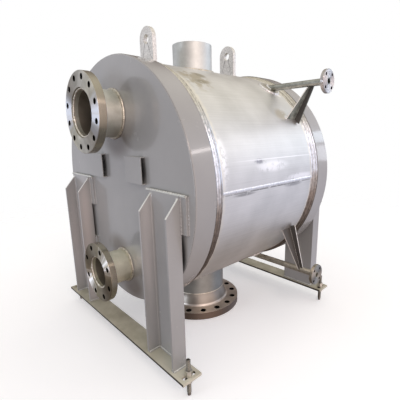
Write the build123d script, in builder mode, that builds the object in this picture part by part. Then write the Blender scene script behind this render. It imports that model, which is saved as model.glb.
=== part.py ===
from build123d import *
import math
import os

# Plate and shell heat exchanger on two welded supports, in millimetres.
# The vessel axis runs along Y, the front cover faces -Y, and Z = 0 is the floor.

# Vessel: two thick end plates, the rolled shell between them and the plate pack inside
end_plate_diameter = 1200.0
end_plate_thickness = 110.0
end_plate_edge_break = 4.0
plate_overhang = 15.0
shell_wall = 14.0
shell_length = 796.0
pack_shell_gap = 31.0
pack_port_step = 2.0
girth_weld_width = 52.0
girth_weld_step = 2.0
girth_weld_crown = 4.0
seam_bead_radius = 20.0
seam_bead_height = 4.0

# Front nozzles of the plate side: slip-on flanges on pipe necks
nozzle_reach = 150.0
pipe_set_back = 9.0
face_edge_break = 2.0
upper_neck_diameter = 219.1
upper_neck_wall = 8.0
upper_edge_gap = 152.0
upper_flange_diameter = 360.0
upper_flange_thickness = 38.0
upper_bolt_hole = 26.0
upper_bolt_count = 12
lower_neck_diameter = 168.3
lower_neck_wall = 7.1
lower_edge_gap = 86.0
lower_flange_diameter = 300.0
lower_flange_thickness = 32.0
lower_bolt_hole = 26.0
lower_bolt_count = 8
front_bolt_edge = 25.0
slip_on_clearance = 0.4

# Shell side nozzles: a bare stub on top, a weld neck flange below
top_stub_diameter = 219.1
top_stub_wall = 8.0
top_stub_length = 135.0
bottom_neck_diameter = 323.9
bottom_neck_wall = 8.0
bottom_neck_length = 132.0
bottom_flange_lap = 95.55
bottom_flange_thickness = 42.0
bottom_hub_height = 73.0
bottom_hub_straight = 18.0
bottom_hub_fillet = 14.0
bottom_hub_flare = 80.0
bottom_bolt_edge = 32.5
bottom_bolt_hub_gap = 24.5
bottom_bolt_hole = 33.0
bottom_bolt_count = 16
bottom_floor_gap = 8.0
shell_hole_clearance = 0.3

# Vent and drain: small bore pipes along +X with flanges, pads and angle braces
branch_pipe_diameter = 33.7
branch_pipe_wall = 3.2
branch_end_gap = 108.0
branch_flange_diameter = 115.0
branch_flange_thickness = 18.0
branch_flange_edge_break = 1.5
branch_bolt_edge = 15.0
branch_bolt_hole = 14.0
branch_bolt_count = 4
branch_pad_diameter = 112.0
branch_pad_thickness = 8.0
branch_overhang = 101.0
vent_top_gap = 98.0
drain_bottom_gap = 48.0
brace_wide_leg = 84.0
brace_deep_leg = 40.0
brace_head_leg = 22.0
brace_thickness = 5.0
brace_head_gap = 105.0
brace_head_sink = 12.0
vent_brace_drop = 170.0
drain_brace_rise = 236.0
vent_brace_shift = 15.0
drain_brace_shift = -5.0
brace_foot_sink = 12.0

# Lifting lugs on the crown of the shell
lug_width = 118.0
lug_thickness = 22.0
lug_hole = 42.0
lug_hole_rise = 120.0
lug_end_gap = 110.0

# Nameplate brackets: bent plates that stand off the front cover
bracket_width = 145.0
bracket_height = 121.0
bracket_stand_off = 22.0
bracket_sheet = 4.0
bracket_centre = 190.0
bracket_rise = 85.0

# Supports: four channel legs on two base plates, with pads against the end plates
leg_width = 200.0
leg_depth = 70.0
leg_web = 9.0
leg_flange = 10.0
leg_root_radius = 9.0
leg_edge_gap = 180.0
leg_top_rise = 10.0
leg_flange_drop = 10.0
leg_slope_height = 72.0
pad_thickness = 12.0
pad_side_lap = 35.0
pad_height = 157.0
spacer_width = 100.0
spacer_height = 80.0
spacer_lap = 20.0
spacer_edge_gap = 215.0
base_overhang = 2.0
base_lap = 5.0
base_width = 100.0
base_thickness = 12.0

# Levelling screws that carry the base plates, each held by two nuts in a slot
screw_diameter = 20.0
screw_reach = 83.0
screw_rise = 77.0
screw_end_break = 2.0
screw_point_diameter = 16.0
screw_point_length = 14.0
nut_width = 30.0
lock_nut_height = 28.0
lower_nut_height = 18.0
nut_clearance = 0.2
slot_width = 22.0
slot_length = 66.0
slot_end_gap = 26.5

# Length by which every cut runs past the solid that it cuts
overrun = 50.0

# Values worked out from the sizes above
plate_radius = end_plate_diameter / 2
shell_radius = plate_radius - plate_overhang
shell_bore_radius = shell_radius - shell_wall
pack_radius = shell_bore_radius - pack_shell_gap
half_shell = shell_length / 2
half_vessel = half_shell + end_plate_thickness
hub_top = bottom_floor_gap + bottom_flange_thickness + bottom_hub_height
axis_height = hub_top + bottom_neck_length + shell_radius
upper_rise = plate_radius - upper_edge_gap - upper_neck_diameter / 2
lower_drop = plate_radius - lower_edge_gap - lower_neck_diameter / 2
upper_bore = upper_neck_diameter - 2 * upper_neck_wall
lower_bore = lower_neck_diameter - 2 * lower_neck_wall
upper_bolt_circle = upper_flange_diameter - 2 * front_bolt_edge
lower_bolt_circle = lower_flange_diameter - 2 * front_bolt_edge
bottom_flange_diameter = bottom_neck_diameter + 2 * bottom_flange_lap
bottom_bolt_circle = bottom_flange_diameter - 2 * bottom_bolt_edge
bottom_hub_diameter = bottom_bolt_circle - bottom_bolt_hole - 2 * bottom_bolt_hub_gap
nozzle_face = -half_vessel - nozzle_reach
leg_centre = plate_radius - leg_edge_gap
base_top = screw_reach + base_thickness
base_half_length = plate_radius + base_overhang
screw_x = base_half_length - slot_end_gap
base_centre = half_vessel - base_lap + base_width / 2
vent_rise = shell_radius - vent_top_gap
drain_drop = shell_radius - drain_bottom_gap
branch_face = shell_radius + branch_overhang
branch_offset = half_shell - branch_end_gap
branch_bolt_circle = branch_flange_diameter - 2 * branch_bolt_edge
lug_offset = half_shell - lug_end_gap

vessel_axis = Axis((0, 0, axis_height), (0, 1, 0))
ends = (("front", -1), ("rear", 1))
sides = (("left", -1), ("right", 1))


def front_plane(y, x=0, z=axis_height):
    # Upright plane seen from the front: local x is X, local y is Z, and the normal is -Y
    return Plane(origin=(x, y, z), x_dir=(1, 0, 0), z_dir=(0, -1, 0))


def side_plane(x, y, z):
    # Upright plane seen from the right: local x is Y, local y is Z, and the normal is +X
    return Plane(origin=(x, y, z), x_dir=(0, 1, 0), z_dir=(1, 0, 0))


def save(piece, node):
    piece.part.label = node
    export_step(piece.part, f"parts/{node}.step")


os.makedirs("parts", exist_ok=True)

# End plates: thick discs, the front one bored for the two plate side ports
with BuildPart() as front_end_plate:
    with BuildSketch(front_plane(-half_vessel)):
        Circle(plate_radius)
        with Locations((0, upper_rise)):
            Circle(upper_bore / 2, mode=Mode.SUBTRACT)
        with Locations((0, -lower_drop)):
            Circle(lower_bore / 2, mode=Mode.SUBTRACT)
    extrude(amount=-end_plate_thickness)
    rim = front_end_plate.faces().sort_by(Axis.Y)[0].outer_wire().edges()
    chamfer(rim, length=end_plate_edge_break)
save(front_end_plate, "front_end_plate")

with BuildPart() as rear_end_plate:
    with BuildSketch(front_plane(half_vessel)):
        Circle(plate_radius)
    extrude(amount=end_plate_thickness)
    rim = rear_end_plate.faces().sort_by(Axis.Y)[-1].outer_wire().edges()
    chamfer(rim, length=end_plate_edge_break)
save(rear_end_plate, "rear_end_plate")

# Shell: rolled plate with openings for its four nozzles
with BuildPart() as shell:
    with BuildSketch(front_plane(-half_shell)):
        Circle(shell_radius)
        Circle(shell_bore_radius, mode=Mode.SUBTRACT)
    extrude(amount=-shell_length)
    with BuildSketch(Plane.XY.offset(axis_height)):
        Circle(top_stub_diameter / 2 + shell_hole_clearance)
    extrude(amount=shell_radius + overrun, mode=Mode.SUBTRACT)
    with BuildSketch(Plane.XY.offset(axis_height)):
        Circle(bottom_neck_diameter / 2 + shell_hole_clearance)
    extrude(amount=-shell_radius - overrun, mode=Mode.SUBTRACT)
    for rise in (vent_rise, -drain_drop):
        with BuildSketch(side_plane(0, branch_offset, axis_height + rise)):
            Circle(branch_pipe_diameter / 2 + shell_hole_clearance)
        extrude(amount=shell_radius + overrun, mode=Mode.SUBTRACT)
save(shell, "shell")

# Girth welds: crowned rings from each end plate down to the shell
for end_name, end in ends:
    weld_start = end * half_shell
    weld_end = end * (half_shell - girth_weld_width)
    weld_middle = (weld_start + weld_end) / 2
    weld_top = plate_radius - girth_weld_step
    crown = (weld_top + shell_radius) / 2 + girth_weld_crown
    with BuildPart() as girth_weld:
        with BuildSketch(Plane.XY.offset(axis_height)):
            with BuildLine():
                Line((shell_radius, weld_end), (shell_radius, weld_start))
                Line((shell_radius, weld_start), (weld_top, weld_start))
                ThreePointArc((weld_top, weld_start), (crown, weld_middle), (shell_radius, weld_end))
            make_face()
        revolve(axis=vessel_axis)
    save(girth_weld, f"{end_name}_girth_weld")

# Seam weld: a low bead along the shell at mid height on the +X side
seam_length = shell_length - 2 * girth_weld_width
with BuildPart() as seam_weld:
    with BuildSketch(front_plane(-seam_length / 2)):
        with Locations((shell_radius + seam_bead_height - seam_bead_radius, 0)):
            Circle(seam_bead_radius)
        Circle(shell_radius, mode=Mode.SUBTRACT)
    extrude(amount=-seam_length)
save(seam_weld, "shell_seam_weld")

# Plate pack: the welded stack of round plates, pierced by its two ports
with BuildPart() as plate_pack:
    with BuildSketch(front_plane(-half_shell)):
        Circle(pack_radius)
        with Locations((0, upper_rise)):
            Circle(upper_bore / 2 + pack_port_step, mode=Mode.SUBTRACT)
        with Locations((0, -lower_drop)):
            Circle(lower_bore / 2 + pack_port_step, mode=Mode.SUBTRACT)
    extrude(amount=-shell_length)
save(plate_pack, "plate_pack")

# Front nozzles: each neck butts on the cover and stops short of its flange face
front_nozzles = (
    ("upper", upper_rise, upper_neck_diameter, upper_bore, upper_flange_diameter,
     upper_flange_thickness, upper_bolt_circle, upper_bolt_hole, upper_bolt_count),
    ("lower", -lower_drop, lower_neck_diameter, lower_bore, lower_flange_diameter,
     lower_flange_thickness, lower_bolt_circle, lower_bolt_hole, lower_bolt_count),
)
for name, rise, neck_diameter, bore, diameter, thickness, circle, hole, count in front_nozzles:
    with BuildPart() as neck:
        with BuildSketch(front_plane(-half_vessel, z=axis_height + rise)):
            Circle(neck_diameter / 2)
            Circle(bore / 2, mode=Mode.SUBTRACT)
        extrude(amount=nozzle_reach - pipe_set_back)
    save(neck, f"{name}_nozzle_neck")

    with BuildPart() as flange:
        with BuildSketch(front_plane(nozzle_face, z=axis_height + rise)):
            Circle(diameter / 2)
            Circle(neck_diameter / 2 + slip_on_clearance, mode=Mode.SUBTRACT)
            with PolarLocations(circle / 2, count, start_angle=180 / count):
                Circle(hole / 2, mode=Mode.SUBTRACT)
        extrude(amount=-thickness)
        rims = flange.faces().filter_by(Axis.Y)
        chamfer([face.outer_wire().edges()[0] for face in rims], length=face_edge_break)
    save(flange, f"{name}_nozzle_flange")

# Top stub: a bare pipe end, cut flush with the inside of the shell
with BuildPart() as top_stub:
    with BuildSketch(Plane.XY.offset(axis_height)):
        Circle(top_stub_diameter / 2)
        Circle(top_stub_diameter / 2 - top_stub_wall, mode=Mode.SUBTRACT)
    extrude(amount=shell_radius + top_stub_length)
    with BuildSketch(front_plane(-half_shell)):
        Circle(shell_bore_radius)
    extrude(amount=-shell_length, mode=Mode.SUBTRACT)
save(top_stub, "top_nozzle_stub")

# Bottom nozzle: pipe neck through the shell, then a weld neck flange with a tapered hub
bottom_bore = bottom_neck_diameter / 2 - bottom_neck_wall
with BuildPart() as bottom_neck:
    with BuildSketch(Plane.XY.offset(hub_top)):
        Circle(bottom_neck_diameter / 2)
        Circle(bottom_bore, mode=Mode.SUBTRACT)
    extrude(amount=axis_height - hub_top)
    with BuildSketch(front_plane(-half_shell)):
        Circle(shell_bore_radius)
    extrude(amount=-shell_length, mode=Mode.SUBTRACT)
save(bottom_neck, "bottom_nozzle_neck")

flange_back = bottom_floor_gap + bottom_flange_thickness
with BuildPart() as bottom_flange:
    with BuildSketch(front_plane(0, z=0)) as flange_profile:
        with BuildLine():
            Polyline(
                (bottom_bore, bottom_floor_gap),
                (bottom_flange_diameter / 2, bottom_floor_gap),
                (bottom_flange_diameter / 2, flange_back),
                (bottom_hub_diameter / 2, flange_back),
                (bottom_neck_diameter / 2, hub_top - bottom_hub_straight),
                (bottom_neck_diameter / 2, hub_top),
                (bottom_bore, hub_top),
                close=True,
            )
        make_face()
        hub_root = flange_profile.vertices().sort_by_distance((bottom_hub_diameter / 2, flange_back, 0))[0]
        fillet(hub_root, radius=bottom_hub_fillet)
        hub_neck = flange_profile.vertices().sort_by_distance(
            (bottom_neck_diameter / 2, hub_top - bottom_hub_straight, 0)
        )[0]
        fillet(hub_neck, radius=bottom_hub_flare)
    revolve(axis=Axis.Z)
    with BuildSketch(Plane.XY.offset(bottom_floor_gap)):
        with PolarLocations(bottom_bolt_circle / 2, bottom_bolt_count, start_angle=180 / bottom_bolt_count):
            Circle(bottom_bolt_hole / 2)
    extrude(amount=bottom_flange_thickness, mode=Mode.SUBTRACT)
save(bottom_flange, "bottom_nozzle_flange")

# Vent and drain branches: level pipe, saddle pad on the shell, flange and tapered angle brace
branches = (
    ("vent", vent_rise, vent_rise - vent_brace_drop, vent_brace_shift, 1, 90),
    ("drain", -drain_drop, drain_brace_rise - drain_drop, drain_brace_shift, -1, 180),
)
pipe_radius = branch_pipe_diameter / 2
for name, rise, foot_rise, brace_shift, up, brace_turn in branches:
    level = axis_height + rise
    with BuildPart() as pipe:
        with BuildSketch(side_plane(0, branch_offset, level)):
            Circle(pipe_radius)
            Circle(pipe_radius - branch_pipe_wall, mode=Mode.SUBTRACT)
        extrude(amount=branch_face)
        with BuildSketch(front_plane(-half_shell)):
            Circle(shell_bore_radius)
        extrude(amount=-shell_length, mode=Mode.SUBTRACT)
    save(pipe, f"{name}_pipe")

    with BuildPart() as flange:
        with BuildSketch(side_plane(branch_face, branch_offset, level)):
            Circle(branch_flange_diameter / 2)
            Circle(pipe_radius + slip_on_clearance, mode=Mode.SUBTRACT)
            half_pitch = 180 / branch_bolt_count
            with PolarLocations(branch_bolt_circle / 2, branch_bolt_count, start_angle=half_pitch):
                Circle(branch_bolt_hole / 2, mode=Mode.SUBTRACT)
        extrude(amount=-branch_flange_thickness)
        rims = flange.faces().filter_by(Axis.X)
        chamfer([face.outer_wire().edges()[0] for face in rims], length=branch_flange_edge_break)
    save(flange, f"{name}_flange")

    # The pad is round about the line from the vessel axis to the point where the pipe leaves the shell
    root_x = math.sqrt(shell_radius**2 - rise**2)
    pad_plane = Plane(origin=(0, branch_offset, axis_height), x_dir=(0, 1, 0), z_dir=(root_x, 0, rise))
    with BuildPart() as pad:
        with BuildSketch(front_plane(-half_shell)):
            Circle(shell_radius + branch_pad_thickness)
            Circle(shell_radius, mode=Mode.SUBTRACT)
        extrude(amount=-shell_length)
        with BuildSketch(pad_plane):
            Circle(branch_pad_diameter / 2)
        extrude(amount=shell_radius + overrun, mode=Mode.INTERSECT)
        with BuildSketch(side_plane(0, branch_offset, level)):
            Circle(pipe_radius + shell_hole_clearance)
        extrude(amount=branch_face, mode=Mode.SUBTRACT)
    save(pad, f"{name}_pad")

    # The brace runs from the pipe near its flange back to the shell, its wide leg towards the front
    head_x = branch_face - brace_head_gap
    foot_x = math.sqrt(shell_radius**2 - foot_rise**2)
    head = Vector(head_x, branch_offset + brace_shift, level - up * (pipe_radius - brace_head_sink))
    foot = Vector(foot_x, branch_offset + brace_shift, axis_height + foot_rise)
    run = (foot - head).normalized()
    buried_foot = foot + run * brace_foot_sink
    with BuildPart() as brace:
        for centre, deep, wide in (
            (head, brace_head_leg, brace_head_leg),
            (buried_foot, brace_deep_leg, brace_wide_leg),
        ):
            leg, other = (deep, wide) if up > 0 else (wide, deep)
            with BuildSketch(Plane(origin=centre, x_dir=(0, 1, 0), z_dir=run)):
                with BuildLine(Rotation(0, 0, brace_turn)):
                    Polyline(
                        (0, 0),
                        (leg, 0),
                        (leg, brace_thickness),
                        (brace_thickness, brace_thickness),
                        (brace_thickness, other),
                        (0, other),
                        close=True,
                    )
                make_face()
        loft(ruled=True)
        with BuildSketch(front_plane(-half_shell)):
            Circle(shell_radius)
        extrude(amount=-shell_length, mode=Mode.SUBTRACT)
        with BuildSketch(side_plane(0, branch_offset, level)):
            Circle(pipe_radius)
        extrude(amount=branch_face, mode=Mode.SUBTRACT)
    save(brace, f"{name}_brace")

# Lifting lugs: round topped plates that saddle the crown of the shell
for end_name, end in ends:
    with BuildPart() as lug:
        with BuildSketch(front_plane(end * lug_offset - lug_thickness / 2)):
            with Locations((0, shell_radius + lug_hole_rise)):
                Circle(lug_width / 2)
            with Locations((0, shell_radius - lug_width)):
                Rectangle(lug_width, lug_hole_rise + lug_width, align=(Align.CENTER, Align.MIN))
            Circle(shell_radius, mode=Mode.SUBTRACT)
            with Locations((0, shell_radius + lug_hole_rise)):
                Circle(lug_hole / 2, mode=Mode.SUBTRACT)
        extrude(amount=-lug_thickness)
    save(lug, f"{end_name}_lifting_lug")

# Nameplate brackets: C shaped strips with open ends, bare of any plate
for side_name, side in sides:
    bracket_start = side * bracket_centre - bracket_width / 2
    face_y = -half_vessel - bracket_stand_off
    with BuildPart() as bracket:
        with BuildSketch(side_plane(bracket_start, face_y, axis_height + bracket_rise)):
            Rectangle(bracket_stand_off, bracket_height, align=(Align.MIN, Align.CENTER))
            with Locations((bracket_sheet, 0)):
                Rectangle(
                    bracket_stand_off - bracket_sheet,
                    bracket_height - 2 * bracket_sheet,
                    align=(Align.MIN, Align.CENTER),
                    mode=Mode.SUBTRACT,
                )
        extrude(amount=bracket_width)
    save(bracket, f"{side_name}_nameplate_bracket")

# Supports at each end: channel legs, pads and spacers, and the base plate under them
leg_back = half_vessel + pad_thickness
leg_front = leg_back + leg_depth
flange_top = leg_top_rise - leg_flange_drop
for end_name, end in ends:
    for side_name, side in sides:
        near_x = side * leg_centre - leg_width / 2
        far_x = side * leg_centre + leg_width / 2
        with BuildPart() as leg:
            with BuildSketch(Plane.XY.offset(base_top)) as section:
                with BuildLine():
                    Polyline(
                        (near_x, end * leg_back),
                        (far_x, end * leg_back),
                        (far_x, end * leg_front),
                        (far_x - leg_flange, end * leg_front),
                        (far_x - leg_flange, end * (leg_back + leg_web)),
                        (near_x + leg_flange, end * (leg_back + leg_web)),
                        (near_x + leg_flange, end * leg_front),
                        (near_x, end * leg_front),
                        close=True,
                    )
                make_face()
                roots = section.vertices().filter_by(
                    lambda corner: abs(abs(corner.Y) - leg_back - leg_web) < leg_web / 2
                )
                fillet(roots, radius=leg_root_radius)
            extrude(amount=axis_height + leg_top_rise - base_top)
            with BuildSketch(side_plane(near_x - overrun, 0, axis_height)):
                with BuildLine():
                    Polyline(
                        (end * (leg_back + leg_web), leg_top_rise + overrun),
                        (end * (leg_back + leg_web), flange_top),
                        (end * leg_front, flange_top - leg_slope_height),
                        (end * (leg_front + overrun), flange_top - leg_slope_height),
                        (end * (leg_front + overrun), leg_top_rise + overrun),
                        close=True,
                    )
                make_face()
            extrude(amount=leg_width + 2 * overrun, mode=Mode.SUBTRACT)
        save(leg, f"{end_name}_{side_name}_leg")

        with BuildPart() as pad:
            with BuildSketch(front_plane(end * half_vessel, x=side * leg_centre)):
                with Locations((0, leg_top_rise)):
                    Rectangle(leg_width + 2 * pad_side_lap, pad_height, align=(Align.CENTER, Align.MAX))
            extrude(amount=-end * pad_thickness)
        save(pad, f"{end_name}_{side_name}_leg_pad")

        spacer_x = side * (leg_centre - leg_width / 2 - spacer_lap + spacer_width / 2)
        with BuildPart() as spacer:
            with BuildSketch(front_plane(end * half_vessel, x=spacer_x)):
                with Locations((0, spacer_edge_gap - plate_radius)):
                    Rectangle(spacer_width, spacer_height)
            extrude(amount=-end * pad_thickness)
        save(spacer, f"{end_name}_{side_name}_leg_spacer")

    with BuildPart() as base:
        with BuildSketch(Plane.XY.offset(screw_reach)):
            with Locations((0, end * base_centre)):
                Rectangle(2 * base_half_length, base_width)
                with GridLocations(2 * screw_x, 0, 2, 1):
                    SlotOverall(slot_length, slot_width, rotation=90, mode=Mode.SUBTRACT)
        extrude(amount=base_thickness)
    save(base, f"{end_name}_base_plate")

# Levelling screws with turned down points, and the nuts above and below each base plate
for end_name, end in ends:
    for side_name, side in sides:
        with BuildPart() as screw:
            with BuildSketch(Plane.XY.offset(screw_point_length)):
                with Locations((side * screw_x, end * base_centre)):
                    Circle(screw_diameter / 2)
            extrude(amount=base_top + screw_rise - screw_point_length)
            with BuildSketch(Plane.XY):
                with Locations((side * screw_x, end * base_centre)):
                    Circle(screw_point_diameter / 2)
            extrude(amount=screw_point_length)
            top_rim = screw.faces().sort_by(Axis.Z)[-1].edges()
            chamfer(top_rim, length=screw_end_break)
        save(screw, f"{end_name}_{side_name}_levelling_screw")

lower_nut_level = screw_reach - lower_nut_height
with BuildPart() as nuts:
    for nut_level, nut_height in ((base_top, lock_nut_height), (lower_nut_level, lower_nut_height)):
        with BuildSketch(Plane.XY.offset(nut_level)):
            with GridLocations(2 * screw_x, 2 * base_centre, 2, 2):
                RegularPolygon(nut_width / 2, 6, major_radius=False)
                Circle(screw_diameter / 2 + nut_clearance, mode=Mode.SUBTRACT)
        extrude(amount=nut_height)
save(nuts, "levelling_nuts")
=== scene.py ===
import bpy
import math
from mathutils import Matrix, Vector


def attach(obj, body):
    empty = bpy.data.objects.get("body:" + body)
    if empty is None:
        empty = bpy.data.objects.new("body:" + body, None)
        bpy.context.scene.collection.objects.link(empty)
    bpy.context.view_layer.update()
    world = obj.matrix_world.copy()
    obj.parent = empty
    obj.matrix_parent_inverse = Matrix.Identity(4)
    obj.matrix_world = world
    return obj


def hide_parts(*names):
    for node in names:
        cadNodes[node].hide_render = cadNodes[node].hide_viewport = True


# Plate and shell heat exchanger: finishes, weld beads, threads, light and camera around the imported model.

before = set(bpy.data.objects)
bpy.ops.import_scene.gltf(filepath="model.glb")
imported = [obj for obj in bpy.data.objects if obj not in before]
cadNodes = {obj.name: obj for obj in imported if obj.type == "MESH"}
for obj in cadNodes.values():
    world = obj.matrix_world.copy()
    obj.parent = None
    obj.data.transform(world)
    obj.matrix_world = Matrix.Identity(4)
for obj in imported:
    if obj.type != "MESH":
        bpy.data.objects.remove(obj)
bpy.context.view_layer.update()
print("frame loaded:", len(cadNodes), "nodes")

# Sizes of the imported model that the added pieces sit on, in metres
vessel = {"axisHeight": 0.840, "shellRadius": 0.585, "halfShell": 0.398, "halfVessel": 0.508}
axisHeight = vessel["axisHeight"]
ends = (("front", -1), ("rear", 1))
sides = (("left", -1), ("right", 1))
corners = [f"{endName}_{sideName}" for endName, end in ends for sideName, side in sides]

# Sockets of a colour mix: its share, the colour under and the colour over
share, under, over = 0, 6, 7


def linear(hexColour):
    # sRGB hex to the linear colour that shaders take
    channels = [int(hexColour[i:i + 2], 16) / 255 for i in (1, 3, 5)]
    return tuple(c / 12.92 if c <= 0.04045 else ((c + 0.055) / 1.055) ** 2.4 for c in channels) + (1.0,)


def setNode(tree, node, settings=None, links=None):
    # Settings are properties, socket values or a ramp's stops, links are the nodes or outputs that feed its sockets
    for key, value in (settings or {}).items():
        if key == "stops":
            points = node.color_ramp.elements
            points.remove(points[1])
            points[0].position, points[0].color = value[0][0], linear(value[0][1])
            for position, hexColour in value[1:]:
                points.new(position).color = linear(hexColour)
        elif isinstance(key, str) and hasattr(node, key):
            setattr(node, key, value)
        else:
            node.inputs[key].default_value = value
    for key, source in (links or {}).items():
        if isinstance(source, bpy.types.Node):
            source = next(output for output in source.outputs if not output.is_unavailable)
        tree.links.new(source, node.inputs[key])
    return node


def addNode(tree, kind, settings=None, links=None):
    return setNode(tree, tree.nodes.new("ShaderNode" + kind), settings, links)


def startMaterial(name, metallic=0.0):
    material = bpy.data.materials.new(name)
    material.use_nodes = True
    tree = material.node_tree
    shader = setNode(tree, tree.nodes["Principled BSDF"], {"Metallic": metallic})
    return material, tree, shader, addNode(tree, "TexCoord").outputs["Object"]


def perMetre(millimetres):
    # Texture scale for a pattern whose cells are this wide
    return 1000.0 / millimetres


def cloudyTint(tree, place, settings, detail, roughness=0.5, low=0.3, high=0.7):
    # Clouds between the dark and the light colour of a finish
    cloud = addNode(tree, "TexNoise", {"Scale": perMetre(settings["cloud"]), "Detail": detail, "Roughness": roughness},
                    {"Vector": place})
    tint = addNode(tree, "ValToRGB", {"stops": ((low, settings["dark"]), (high, settings["light"]))}, {"Fac": cloud})
    return cloud, tint


def softSpot(tree, place, centre, size, core, strength=1.0):
    # Mask of an oval spot that fades from its core to its edge
    offset = addNode(tree, "VectorMath", {"operation": "SUBTRACT", 1: centre}, {0: place})
    span = addNode(tree, "VectorMath", {"operation": "DIVIDE", 1: size}, {0: offset})
    reach = addNode(tree, "VectorMath", {"operation": "LENGTH"}, {0: span})
    return addNode(tree, "MapRange", {"interpolation_type": "SMOOTHSTEP", "From Min": 1.0, "From Max": core,
                                      "To Max": strength}, {"Value": reach})


def finishSurface(tree, shader, colour, gloss, wear, relief=None, strength=0.3, depth=0.0):
    # Colour, a roughness that follows the wear between two values, and a fine relief
    roughness = addNode(tree, "MapRange", {"To Min": gloss[0], "To Max": gloss[1]}, {"Value": wear})
    setNode(tree, shader, {}, {"Base Color": colour, "Roughness": roughness})
    if relief:
        bump = addNode(tree, "Bump", {"Strength": strength, "Distance": depth}, {"Height": relief})
        setNode(tree, shader, {}, {"Normal": bump})
    return roughness


# Satin two-pack paint sprayed on plate: soft reflections, faint clouds, scuffs and a fine orange peel
paintSettings = {"dark": "#949697", "light": "#9FA1A2", "cloud": 320, "scuff": 120, "gloss": (0.22, 0.3), "coat": 0.8,
                 "coatGloss": 0.09, "peel": 3.0, "peelDepth": 0.00008, "paintedEdgeHighlight": "#D4D8D3", "edgeFrom": 0.509}
# Painted shade and reflection under and over the necks, painted shade inside the brackets and behind the right leg, and
# painted light on the legs: place, reach and colour
paintStains = {
    "painted shade and reflection under the upper neck": ((0.02, -0.508, 1.04), (0.16, 0.02, 0.10), "#4F4741"),
    "painted shade and reflection over the lower neck": ((-0.06, -0.508, 0.50), (0.13, 0.02, 0.09), "#6A6254"),
    "painted shade and reflection below the lower neck": ((0.08, -0.508, 0.31), (0.15, 0.02, 0.11), "#5A5246"),
    "painted shade inside the right bracket": ((0.235, -0.508, 0.925), (0.050, 0.012, 0.085), "#0C0D11"),
    "painted shade inside the left bracket": ((-0.145, -0.508, 0.925), (0.050, 0.012, 0.085), "#0C0D11"),
    "painted shadow behind the right leg": ((0.510, -0.508, 0.605), (0.026, 0.012, 0.115), "#0C0D11"),
    "painted light on the left leg": ((-0.39, -0.560, 0.47), (0.18, 0.055, 0.70), "#C8C1C0"),
    "painted light inside the right leg": ((0.325, -0.560, 0.64), (0.045, 0.050, 0.42), "#BEBDBE"),
}


def makePaint(name, settings, stains):
    material, tree, shader, place = startMaterial(name)
    cloud, colour = cloudyTint(tree, place, settings, 4.0)
    # Each patch mixes painted light or shade over the paint's colour
    for centre, size, soil in stains.values():
        fade = softSpot(tree, place, centre, size, 0.2, 0.85)
        colour = addNode(tree, "Mix", {"data_type": "RGBA", over: linear(soil)}, {share: fade, under: colour})
    facing = addNode(tree, "SeparateXYZ", {}, {0: addNode(tree, "NewGeometry").outputs["Normal"]})
    if "paintedEdgeHighlight" in settings:
        # Upward edges of the thin plates outside the covers are painted pale: a painted highlight where light from
        # above falls on them
        part = addNode(tree, "SeparateXYZ", {}, {0: place})
        outside = addNode(tree, "Math", {"operation": "ABSOLUTE"}, {0: part.outputs["Y"]})
        upward = addNode(tree, "MapRange", {"From Min": 0.5, "From Max": 0.6}, {"Value": facing.outputs["Z"]})
        beyond = addNode(tree, "Math", {"operation": "GREATER_THAN", 1: settings["edgeFrom"]}, {0: outside})
        edge, edgeColour = (upward, beyond), settings["paintedEdgeHighlight"]
    else:
        # Faces turned to the front or back are painted dark: painted shade on the long edges of the base plates
        sideways = addNode(tree, "Math", {"operation": "ABSOLUTE"}, {0: facing.outputs["Y"]})
        cut = addNode(tree, "MapRange", {"From Min": 0.6, "From Max": 0.8}, {"Value": sideways})
        edge, edgeColour = (cut, cut), settings["paintedEdgeShade"]
    mask = addNode(tree, "Math", {"operation": "MULTIPLY"}, {0: edge[0], 1: edge[1]})
    colour = addNode(tree, "Mix", {"data_type": "RGBA", over: linear(edgeColour)}, {share: mask, under: colour})
    setNode(tree, shader, {"Coat Weight": settings["coat"], "Coat Roughness": settings["coatGloss"]})
    scuff = addNode(tree, "TexNoise", {"Scale": perMetre(settings["scuff"]), "Detail": 6.0, "Roughness": 0.65},
                    {"Vector": place})
    peel = addNode(tree, "TexNoise", {"Scale": perMetre(settings["peel"]), "Detail": 1.0}, {"Vector": place})
    finishSurface(tree, shader, colour, settings["gloss"], scuff, peel, 0.5, settings["peelDepth"])
    return material


greyPaint = makePaint("satinGreyPaint", paintSettings, paintStains)
# The same paint over the leg top welds is painted lighter as a painted highlight, and lies thicker and glossier there
beadSettings = {**paintSettings, "dark": "#AFB3B1", "light": "#CED4D2", "cloud": 18, "gloss": (0.2, 0.32)}
beadPaint = makePaint("paintOverWeldsWithPaintedHighlight", beadSettings, paintStains)
# Base plates: thinner coat, dulled and stained olive by the workshop floor
baseSettings = {"dark": "#A2A08E", "light": "#C3C1B1", "cloud": 90, "scuff": 60, "gloss": (0.32, 0.46), "coat": 0.0,
                "coatGloss": 0.09, "peel": 3.0, "peelDepth": 0.0003, "paintedEdgeShade": "#3B372F"}
# Painted light: the base plate's end by the right screw is painted lighter
baseStains = {"painted light on the end by the right screw": ((0.54, -0.56, 0.095), (0.24, 0.12, 0.05), "#CBCABC")}
basePaint = makePaint("stainedBasePaint", baseSettings, baseStains)

# Pickled stainless plate: matt and cloudy, with faint lines along the shell
shellSettings = {"dark": "#D2D3D1", "light": "#EAEBEA", "cloud": 220, "line": 5.0, "lineLength": 400, "lineShare": 0.3,
                 "lineDepth": 0.0004, "gloss": (0.4, 0.5), "torn": 30, "tornDepth": 0.03, "brushed": (0.346, 0.362),
                 "brushedColour": "#EFECE2", "tear": 0.12}
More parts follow.
